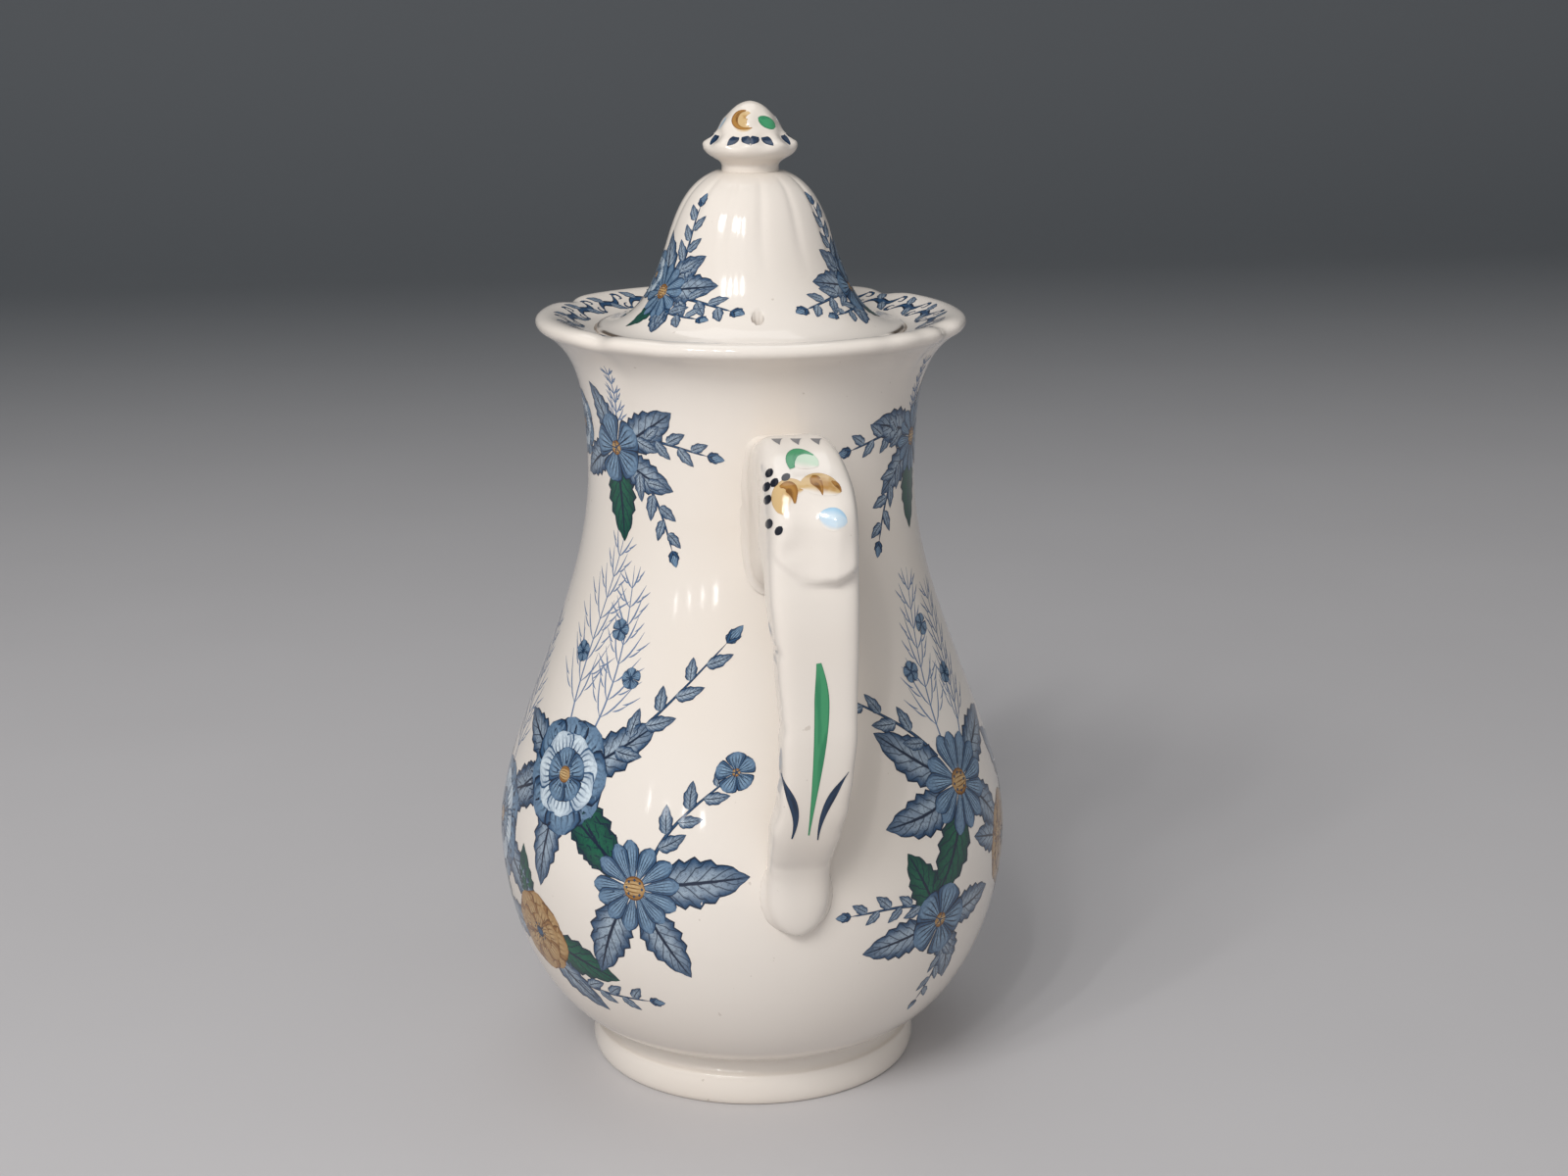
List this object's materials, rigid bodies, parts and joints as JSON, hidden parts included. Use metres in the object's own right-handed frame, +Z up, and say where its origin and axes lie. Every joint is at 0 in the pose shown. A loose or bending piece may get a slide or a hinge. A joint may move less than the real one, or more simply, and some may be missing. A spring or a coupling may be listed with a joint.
{
  "type": "coffee pot",
  "caption": "Pear-shaped glazed earthenware coffee pot with foot ring, strap handle, swan-neck spout and a domed lift-off lid with a knob.",
  "frame": {"origin": "centre of the foot ring's resting face, on the table", "axes": "+Z up along the pot's axis, +X towards the spout, -X towards the handle"},
  "size_m": [0.1965, 0.132, 0.248],
  "materials": {
    "glaze": "glossy cream glaze"
  },
  "bodies": {
    "pot": {"body": "glaze", "foot_ring": "glaze", "spout": "glaze", "handle": "glaze"},
    "lid": {"lid": "glaze", "lid_collar": "glaze", "lid_knob": "glaze"}
  },
  "joints": [
    {"name": "lid_lift", "type": "slide", "parent": "pot", "child": "lid", "axis": [0, 0, 1], "range_m": [0, 0.06]}
  ]
}
